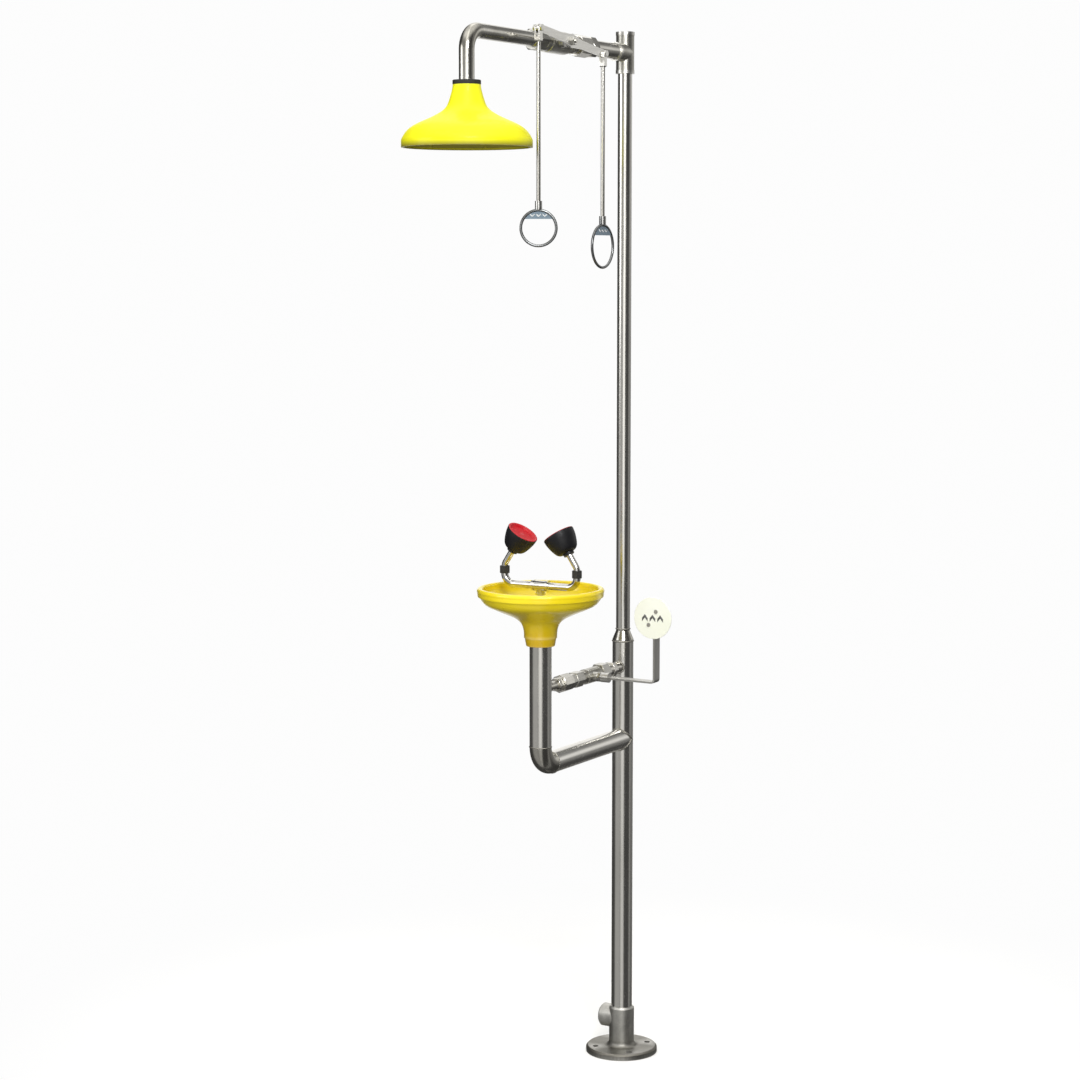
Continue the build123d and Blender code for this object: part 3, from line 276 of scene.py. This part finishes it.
slots = {
    "pipe_steel": steel("pipe_upright", PIPE_DARK, PIPE_LIGHT, (0.15, 0.27), ALONG_Z, spots=0.07),
    "cast_steel": cast_metal("cast_stainless", (0.38, 0.37, 0.33), (0.64, 0.63, 0.58)),
    "fitting_steel": steel("fitting_machined", FITTING_DARK, FITTING_LIGHT, (0.16, 0.32), ALL_WAYS, 500.0,
                           0.00003, 30.0, 0.15),
    "fastener_steel": steel("fastener_bright", (0.5, 0.49, 0.46), (0.75, 0.74, 0.70), (0.14, 0.28), ALL_WAYS,
                            1200.0, 0.00002, 80.0, 0.2),
    "ball_chrome": steel("ball_polished", (0.66, 0.66, 0.65), (0.82, 0.82, 0.81), (0.04, 0.10), ALL_WAYS,
                         300.0, 0.000004, 40.0, 0.05),
    "ptfe": flat_part("ptfe_waxy", (0.78, 0.78, 0.75), (0.90, 0.90, 0.88), (0.35, 0.5)),
    "gasket_rubber": flat_part("rubber_black", (0.012, 0.012, 0.012), (0.035, 0.035, 0.034), (0.55, 0.8)),
    # painted shade: the head's bottom rim turns olive as if in shadow
    "shower_yellow": moulded("shower_lemon", (0.92, 0.88, 0.008), (0.97, 0.94, 0.020), 0.1, (0.4, 0.56),
                             shade=(HEAD_LOW + 1 * MM, HEAD_LOW + 11 * MM, (0.30, 0.27, 0.005)), scuff=0.08,
                             shine=0.2),
    # painted shade: the bowl darkens to brown towards its neck, as if lit from above
    "bowl_yellow": moulded("bowl_golden", (0.86, 0.66, 0.008), (0.93, 0.76, 0.016), 0.5, (0.26, 0.40),
                           shade=(BOWL_LOW - 0.02, BOWL_HIGH - 0.03, (0.58, 0.36, 0.003))),
    "cup_black": moulded("cup_black", (0.004, 0.004, 0.005), (0.010, 0.010, 0.012), 0.05, (0.4, 0.56), 0.00008,
                         scuff=0.03, shine=0.3),
    "cap_red": moulded("cap_red", (0.46, 0.004, 0.010), (0.62, 0.008, 0.018), 0.15, (0.36, 0.5), scuff=0.15,
                       shine=0.3),
    "disc_white": moulded("disc_white", (0.72, 0.72, 0.70), (0.82, 0.82, 0.80), 0.1, (0.35, 0.5)),
    "ring_plate": moulded("ring_plate_blue", (0.05, 0.095, 0.14), (0.13, 0.21, 0.28), 0.2, (0.28, 0.42),
                          scuff=0.15),
    "sign_plate": moulded("sign_glow", (0.90, 0.92, 0.78), (0.95, 0.96, 0.86), 0.3, (0.3, 0.45)),
}
arm_steel = steel("pipe_level", PIPE_DARK, PIPE_LIGHT, (0.16, 0.28), ALONG_Y, spots=0.07)
bent_steel = steel("pipe_bent", PIPE_DARK, PIPE_LIGHT, (0.16, 0.29), ALL_WAYS, 260.0, spots=0.07)
bar_steel = steel("bar_brushed", (0.20, 0.195, 0.175), (0.38, 0.37, 0.34), (0.34, 0.5), ALONG_Z, spots=0.1)
wire_steel = steel("ring_wire", (0.16, 0.165, 0.17), (0.36, 0.37, 0.37), (0.2, 0.34), ALL_WAYS, 700.0)
lever_steel = steel("lever_pressed", (0.62, 0.61, 0.57), (0.86, 0.85, 0.81), (0.26, 0.42), ALONG_Y, 600.0,
                    0.00002, 24.0, 0.1)
yoke_chrome = steel("yoke_bright", (0.58, 0.57, 0.54), (0.80, 0.79, 0.76), (0.08, 0.18), ALL_WAYS, 400.0,
                    0.00001, 60.0, 0.1)
weld_metal = cast_metal("weld_metal", (0.20, 0.185, 0.15), (0.46, 0.44, 0.38), rubbed=0.4)
# painted shade: the flange is darker than the hub above it
pedestal_cast = cast_metal("pedestal_cast", (0.34, 0.335, 0.31), (0.72, 0.71, 0.67), (0.34, 0.58),
                           (0.012, 0.030, (0.20, 0.19, 0.165)), rubbed=0.5)
# painted shade: dark olive standing in for the yellow underside in shadow
spray_painted_shade = moulded("spray_plate_painted_shade", (0.24, 0.22, 0.006), (0.36, 0.33, 0.010), 0.0, (0.5, 0.7),
                      scuff=0.1, shine=0.0)
ink_black = moulded("sign_ink", (0.012, 0.013, 0.012), (0.035, 0.036, 0.033), 0.2, (0.3, 0.45), scuff=0.2)
ink_white = moulded("ring_ink", (0.74, 0.76, 0.76), (0.86, 0.87, 0.87), 0.2, (0.3, 0.45), scuff=0.2)
SPECIAL_FINISH = {
    "drain_arm_pipe": arm_steel, "arm_nipple": arm_steel, "shower_arm_pipe": bent_steel,
    "drain_elbow": bent_steel, "yoke_tubes": yoke_chrome, "yoke_tee": yoke_chrome,
    "push_handle_bar": bar_steel, "outer_pull_ring": wire_steel, "inner_pull_ring": wire_steel,
    # the spray plate and its screws take the olive painted shade
    "rocker_lever": lever_steel, "base_flange": pedestal_cast, "shower_spray_plate": spray_painted_shade,
    "spray_plate_screws": spray_painted_shade,
}


def dress_cad_nodes():
    """Give each CAD node the finish of its slot, or its own where one is named."""
    slot_of = {part["node"]: part["material_slot"] for part in frame["record"]["subparts"]}
    for name, node in frame["nodes"].items():
        finish = SPECIAL_FINISH.get(name, slots[slot_of[name]])
        if not node.material_slots:
            node.data.materials.append(finish)
        for place in node.material_slots:
            place.material = finish


# --- mesh helpers -------------------------------------------------------------------------------------
def make_piece(name, bm, body, finish, place=None):
    """Turn a bmesh into a smooth shaded piece that rides on a body."""
    bmesh.ops.recalc_face_normals(bm, faces=bm.faces)
    mesh = bpy.data.meshes.new(name)
    bm.to_mesh(mesh)
    bm.free()
    mesh.materials.append(finish)
    mesh.shade_smooth()
    piece = bpy.data.objects.new(name, mesh)
    bpy.context.scene.collection.objects.link(piece)
    if place is not None:
        piece.data.transform(place)
    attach(piece, body)
    return piece


def tube_round(bm, centres, radii, closed, sides=10):
    """Skin of round sections about a line of centres, with a radius at each."""
    count = len(centres)
    rings = []
    for i, centre in enumerate(centres):
        before = centres[i - 1] if closed or i else centre
        after = centres[(i + 1) % count] if closed or i < count - 1 else centre
        along = (after - before).normalized()
        across = along.cross(Z_AXIS if abs(along.z) < 0.9 else X_AXIS).normalized()
        other = along.cross(across)
        turns = [2 * math.pi * k / sides for k in range(sides)]
        rings.append([bm.verts.new(centre + radii[i] * (across * math.cos(t) + other * math.sin(t)))
                      for t in turns])
    for i in range(count if closed else count - 1):
        first, second = rings[i], rings[(i + 1) % count]
        for k in range(sides):
            after = (k + 1) % sides
            bm.faces.new((first[k], first[after], second[after], second[k]))
    if not closed:
        bm.faces.new(rings[0])
        bm.faces.new(reversed(rings[-1]))


def weld_bead(name, line, radius, body="station", ripples=2.2 * MM):
    """Closed weld run along line(t), t from 0 to 1, rippled like laid metal."""
    samples, steps_per_ripple = 90, 5
    length = sum((line(k / samples) - line((k + 1) / samples)).length for k in range(samples))
    steps = max(12, round(length / ripples)) * steps_per_ripple
    bm = bmesh.new()
    centres, radii = [], []
    for k in range(steps):
        wave = 0.5 + 0.5 * math.cos(2 * math.pi * k / steps_per_ripple)
        centres.append(line(k / steps))
        radii.append(radius * (0.86 + 0.2 * wave + random.uniform(-0.05, 0.05)))
    tube_round(bm, centres, radii, True, 8)
    return make_piece(name, bm, body, weld_metal)


def level_ring(radius, centre):
    """Closed line round a vertical pipe."""
    return lambda t: centre + radius * Vector((math.cos(2 * math.pi * t), math.sin(2 * math.pi * t), 0))


def upright_ring(radius, centre):
    """Closed line round a pipe that lies along Y."""
    return lambda t: centre + radius * Vector((math.cos(2 * math.pi * t), 0, math.sin(2 * math.pi * t)))


def saddle(radius, height, column_r, column_y=0.0, side=-1):
    """Closed line where a level pipe along Y meets an upright pipe."""
    def line(t):
        x = radius * math.cos(2 * math.pi * t)
        z = height + radius * math.sin(2 * math.pi * t)
        return Vector((x, column_y + side * math.sqrt(max(column_r ** 2 - x ** 2, 0.0)), z))
    return line


def screw_thread(name, radius, start, end, pitch, depth, place, body, finish):
    """Triangular ridge wound about Z from start to end, then moved by place."""
    steps_per_turn = 40
    count = int((end - start) / pitch * steps_per_turn)
    bm = bmesh.new()
    previous = None
    for k in range(count + 1):
        turn = 2 * math.pi * k / steps_per_turn
        fade = min(1.0, k / steps_per_turn, (count - k) / steps_per_turn)
        height = start + (end - start) * k / count
        out = Vector((math.cos(turn), math.sin(turn), 0))
        crest = radius + depth * fade
        section = [bm.verts.new(out * radius + Z_AXIS * (height - pitch * 0.42)),
                   bm.verts.new(out * crest + Z_AXIS * (height - pitch * 0.06)),
                   bm.verts.new(out * crest + Z_AXIS * (height + pitch * 0.06)),
                   bm.verts.new(out * radius + Z_AXIS * (height + pitch * 0.42))]
        if previous:
            for i in range(4):
                after = (i + 1) % 4
                bm.faces.new((previous[i], previous[after], section[after], section[i]))
        else:
            bm.faces.new(section)
        previous = section
    bm.faces.new(reversed(previous))
    return make_piece(name, bm, body, finish, place)


# --- welds --------------------------------------------------------------------------------------------
def make_welds():
    """Laid beads where pipes are welded to each other."""
    reducer_low, reducer_high = Z_AXIS * low("column_reducer").z, Z_AXIS * high("column_reducer").z
    weld_bead("reducer_lower_weld", level_ring(COLUMN_R - 0.2 * MM, reducer_low), 1.6 * MM)
    weld_bead("reducer_upper_weld", level_ring(SUPPLY_R - 0.2 * MM, reducer_high), 1.6 * MM)
    weld_bead("waste_arm_weld", saddle(COLUMN_R, DRAIN_Z, COLUMN_R), 2.5 * MM)
    weld_bead("branch_boss_weld", saddle(BOSS_R, BRANCH_Z, COLUMN_R), 2.1 * MM)
    elbow_top = Vector((0, BOWL_Y, high("drain_elbow").z))
    elbow_end = Vector((0, high("drain_elbow").y, DRAIN_Z))
    weld_bead("elbow_upper_weld", level_ring(COLUMN_R - 0.3 * MM, elbow_top), 1.4 * MM)
    weld_bead("elbow_arm_weld", upright_ring(COLUMN_R - 0.3 * MM, elbow_end), 1.4 * MM)
    weld_bead("riser_port_weld", saddle(PORT_R, BRANCH_Z, COLUMN_R, BOWL_Y, 1), 1.8 * MM)


# --- threads ------------------------------------------------------------------------------------------
PIPE_PITCH, PIPE_DEPTH = 2.31 * MM, -0.9 * MM       # ridge standing inwards in a bore
STEM_PITCH, STEM_DEPTH = 0.9 * MM, 0.35 * MM        # ridge standing out from the stem
PLAIN_END = 2 * MM          # unthreaded length at either end of a bore


def make_threads():
    """Thread turns in the open inlet and outlet, and on the rocker stem's free end."""
    mounts = {mount["name"]: mount for mount in frame["record"]["mounts"]}
    inlet, outlet = mounts["water_inlet"], mounts["drain_outlet"]
    for name, mount, turn in (("inlet_thread", inlet, Matrix.Rotation(math.pi, 4, "X")),
                              ("outlet_thread", outlet, Matrix.Rotation(math.pi / 2, 4, "Y"))):
        length = mount["dims"]["length_mm"] * MM
        place = Matrix.Translation(mount["pos_m"]) @ turn
        screw_thread(name, mount["dims"]["r_mm"] * MM, PLAIN_END, length - PLAIN_END, PIPE_PITCH, PIPE_DEPTH,
                     place, "station", slots["fitting_steel"])
    stem_end = high("shower_valve_stem").x
    nut_end = high("rocker_nut").x
    valve = middle("shower_valve_ball")
    place = Matrix.Translation((nut_end, valve.y, SHOWER_Z)) @ Matrix.Rotation(math.pi / 2, 4, "Y")
    screw_thread("rocker_stem_thread", STEM_END_R, 0.7 * MM, stem_end - nut_end - 0.6 * MM, STEM_PITCH,
                 STEM_DEPTH, place, "rocker", slots["fastener_steel"])


# --- dust caps ----------------------------------------------------------------------------------------
# section of a lip: out from the cap's edge and up from the cup's rim, in millimetres
LIP_SECTION = ((-2.6, -0.8), (-0.1, -0.8), (-0.1, 0.2), (1.9, 0.2), (2.2, 0.5), (2.2, 0.9), (1.8, 1.3),
               (0.9, 1.5), (-0.8, 1.5), (-1.9, 1.1), (-2.6, 0.2))
LIP_STEPS = 72


def make_cap_lips():
    """Rounded lip of each dust cap, lying over the cup's rim."""
    rim_z = high("nozzle_cups").z - CUP_R * math.sin(CUP_TILT)
    turns = [2 * math.pi * k / LIP_STEPS for k in range(LIP_STEPS)]
    for side, name in ((-1, "left"), (1, "right")):
        bm = bmesh.new()
        rings = [[bm.verts.new(((CAP_R + out * MM) * math.cos(turn), (CAP_R + out * MM) * math.sin(turn),
                                up * MM)) for out, up in LIP_SECTION] for turn in turns]
        for k, ring in enumerate(rings):
            following = rings[(k + 1) % len(rings)]
            for i in range(len(ring)):
                after = (i + 1) % len(ring)
                bm.faces.new((ring[i], ring[after], following[after], following[i]))
        place = (Matrix.Translation((side * NOZZLE_RIM_X, BOWL_Y, rim_z))
                 @ Matrix.Rotation(-side * CUP_TILT, 4, "Y"))
        make_piece(f"{name}_cap_lip", bm, f"{name}_cap", slots["cap_red"], place)


# --- raised marks -------------------------------------------------------------------------------------
def raised_chevrons(name, centres, width, height, stroke, place, body, finish):
    """Thick ink chevrons that point along +Y of the face they stand on."""
    thickness, sunk, softened = 0.3 * MM, 0.1 * MM, 0.12 * MM
    bm = bmesh.new()
    for x, y in centres:
        bottom, top = y - height / 2, y + height / 2
        outline = ((x - width / 2, bottom), (x, top - stroke), (x + width / 2, bottom),
                   (x + width / 2, bottom + stroke), (x, top), (x - width / 2, bottom + stroke))
        upper = [bm.verts.new((u, v, thickness)) for u, v in outline]
        lower = [bm.verts.new((u, v, -sunk)) for u, v in outline]
        for face, order in ((upper, (0, 1, 4, 5)), (upper, (1, 2, 3, 4)), (lower, (0, 5, 4, 1)),
                            (lower, (1, 4, 3, 2))):
            bm.faces.new([face[k] for k in order])
        for k in range(len(outline)):
            after = (k + 1) % len(outline)
            bm.faces.new((upper[k], lower[k], lower[after], upper[after]))
    rims = [edge for edge in bm.edges if min(v.co.z for v in edge.verts) > 0 and len(edge.link_faces) == 2
            and edge.calc_face_angle() > 0.5]
    bmesh.ops.bevel(bm, geom=rims, offset=softened, segments=2, profile=0.5, affect="EDGES")
    return make_piece(name, bm, body, finish, place)


def make_marks():
    """Plain direction marks in place of lettering: up on the push plate, down on the pull rings."""
    stand = Matrix.Rotation(math.pi / 2, 4, "X")
    plate = middle("push_plate")
    front = Matrix.Translation((plate.x, low("push_plate").y, plate.z)) @ stand
    raised_chevrons("push_plate_marks", [(step * 19 * MM, 0) for step in (-1, 0, 1)], 14 * MM, 16 * MM,
                    7.5 * MM, front, "push_handle", ink_black)
    for side, turn in RING_TURNS.items():
        centre = middle(f"{side}_pull_ring")
        height = middle(f"{side}_ring_plate").z
        about = Matrix.Rotation(math.radians(turn), 4, "Z")
        place = (Matrix.Translation((centre.x, centre.y, height)) @ about
                 @ Matrix.Translation((0, -RING_PLATE_T / 2, 0)) @ stand @ Matrix.Rotation(math.pi, 4, "Z"))
        raised_chevrons(f"{side}_ring_marks", [(step * 13 * MM, 0) for step in (-1, 0, 1)], 10 * MM, 7 * MM,
                        2.6 * MM, place, f"{side}_ring", ink_white)


dress_cad_nodes()
make_welds()
make_threads()
make_cap_lips()
make_marks()


# --- floor, light and camera --------------------------------------------------------------------------
CAMERA_PLACE = Vector((2.704, -4.908, 1.820))
CAMERA_HEADING = Vector((-0.512, 0.859, 0)).normalized()
CAMERA_PITCH = math.radians(-6.34)
CAMERA_LENS = 82.3
FLOOR_R, DOME_R = 30, 29
FLOOR_GAP = 0.5 * MM        # keeps the floor clear of the flange's underside


def staged(name, bm, finish):
    """Turn a bmesh into part of the surroundings."""
    mesh = bpy.data.meshes.new(name)
    bm.to_mesh(mesh)
    bm.free()
    mesh.materials.append(finish)
    mesh.shade_smooth()
    thing = bpy.data.objects.new(name, mesh)
    bpy.context.scene.collection.objects.link(thing)
    return thing


def make_surroundings():
    """Pale floor disc that fades into a white dome; neither shows in reflections or lights the object."""
    floor_finish = Finish("floor_pale", Roughness=0.7, Emission_Color=(1, 1, 1, 1))
    tint = floor_finish.ramp(floor_finish.noise(3.0, 4.0), (0.3, (0.80, 0.80, 0.79)), (0.7, (0.84, 0.84, 0.83)))
    away = floor_finish.vector("LENGTH", floor_finish.place, output="Value")
    fade = floor_finish.remap(away, 0.25, 1.6, curve="SMOOTHSTEP")
    floor_finish.feed("Base Color", floor_finish.mix(fade, tint, (0.0, 0.0, 0.0)))
    floor_finish.feed("Emission Strength", floor_finish.remap(fade, 0.0, 1.0, 0.15, BACKDROP))
    floor_finish.feed("Specular IOR Level", floor_finish.remap(fade, 0.0, 0.5, 0.2, 0.0))
    bm = bmesh.new()
    bmesh.ops.create_circle(bm, cap_ends=True, segments=96, radius=FLOOR_R)
    bmesh.ops.translate(bm, verts=bm.verts, vec=(0, 0, -FLOOR_GAP))
    floor = staged("floor", bm, floor_finish.material)
    glow = Finish("backdrop_white", Base_Color=(0, 0, 0, 1), Specular_IOR_Level=0,
                  Emission_Color=(1, 1, 1, 1), Emission_Strength=BACKDROP)
    bm = bmesh.new()
    bmesh.ops.create_uvsphere(bm, u_segments=64, v_segments=32, radius=DOME_R)
    dome = staged("backdrop", bm, glow.material)
    dome.visible_shadow = False
    dome.visible_transmission = False
    for surface in (floor, dome):
        surface.visible_glossy = False
        surface.visible_diffuse = False


# patches of light round the object: azimuth (0 is in front, 90 is at +X), half width, lowest and highest
# elevation, all in degrees, then strength
GLOWS = (
    (29, 22, -90, -7, 0.55),
    (29, 22, -7, 90, 1.5),
    (-24, 42, -90, 90, 0.36),
    (119, 12, -90, 90, 0.25),
    (209, 22, -24, 90, 1.1),
    (157, 34, -16, 44, 0.17),
    (155, 26, 2, 20, 0.75),
)
GLOW_EDGE = 7               # degrees to either side of a border over which a patch fades
OVERHEAD = (0.52, 0.92, 0.0, 1.2)       # sine of the elevation from and to, then strength from and to
AMBIENT = 0.07
BACKDROP = 0.98


def make_world():
    """Studio surround: dark, with soft patches of light round the object and a glow overhead."""
    world = bpy.data.worlds.new("studio")
    bpy.context.scene.world = world
    world.use_nodes = True
    sky = Nodes(world.node_tree)
    direction = sky.add("ShaderNodeTexCoord").outputs["Generated"]
    height = sky.add("ShaderNodeSeparateXYZ", Vector=direction).outputs["Z"]
    level = sky.vector("NORMALIZE", sky.vector("MULTIPLY", direction, (1, 1, 0)))
    total = sky.math("ADD", sky.remap(height, *OVERHEAD, curve="SMOOTHSTEP"), AMBIENT)
    for azimuth, half_width, lowest, highest, strength in GLOWS:
        angle, width = math.radians(azimuth), math.radians(half_width)
        facing = sky.vector("DOT_PRODUCT", level, (math.sin(angle), -math.cos(angle), 0), "Value")
        glow = sky.remap(facing, math.cos(width), math.cos(width * 0.45), 0.0, strength, "SMOOTHSTEP")
        for border, below, above in ((lowest, 0.0, 1.0), (highest, 1.0, 0.0)):
            if abs(border) < 90:
                start = math.sin(math.radians(border - GLOW_EDGE))
                end = math.sin(math.radians(border + GLOW_EDGE))
                keep = sky.remap(height, start, end, below, above, "SMOOTHSTEP")
                glow = sky.math("MULTIPLY", glow, keep)
        total = sky.math("ADD", total, glow)
    background = sky.tree.nodes["Background"]
    sky.tree.links.new(total, background.inputs["Strength"])
    background.inputs["Color"].default_value = (1.0, 0.99, 0.965, 1)


def soft_light(name, place, target, size, power):
    light = bpy.data.lights.new(name, "AREA")
    light.shape = "RECTANGLE"
    light.size, light.size_y = size
    light.energy = power
    lamp = bpy.data.objects.new(name, light)
    lamp.location = place
    lamp.rotation_mode = "QUATERNION"
    lamp.rotation_quaternion = (Vector(target) - Vector(place)).to_track_quat("-Z", "Y")
    bpy.context.scene.collection.objects.link(lamp)
    return lamp


def make_camera():
    camera = bpy.data.cameras.new("camera")
    camera.lens = CAMERA_LENS
    camera.sensor_width = 36
    eye = bpy.data.objects.new("camera", camera)
    eye.location = CAMERA_PLACE
    look = CAMERA_HEADING * math.cos(CAMERA_PITCH) + Z_AXIS * math.sin(CAMERA_PITCH)
    eye.rotation_mode = "QUATERNION"
    eye.rotation_quaternion = look.to_track_quat("-Z", "Y")
    bpy.context.scene.collection.objects.link(eye)
    bpy.context.scene.camera = eye


make_surroundings()
make_world()
soft_light("key", (2.6, -3.4, 3.6), (0, -0.3, 1.3), (1.6, 1.6), 90)
soft_light("fill", (-2.6, -3.2, 2.4), (0, -0.3, 1.2), (1.8, 1.8), 25)
low_fill = soft_light("low_fill", (1.5, -2.8, 0.45), (0, -0.37, 1.08), (1.6, 0.9), 24)
low_fill.visible_glossy = False
make_camera()
bpy.context.scene.view_settings.view_transform = "Standard"
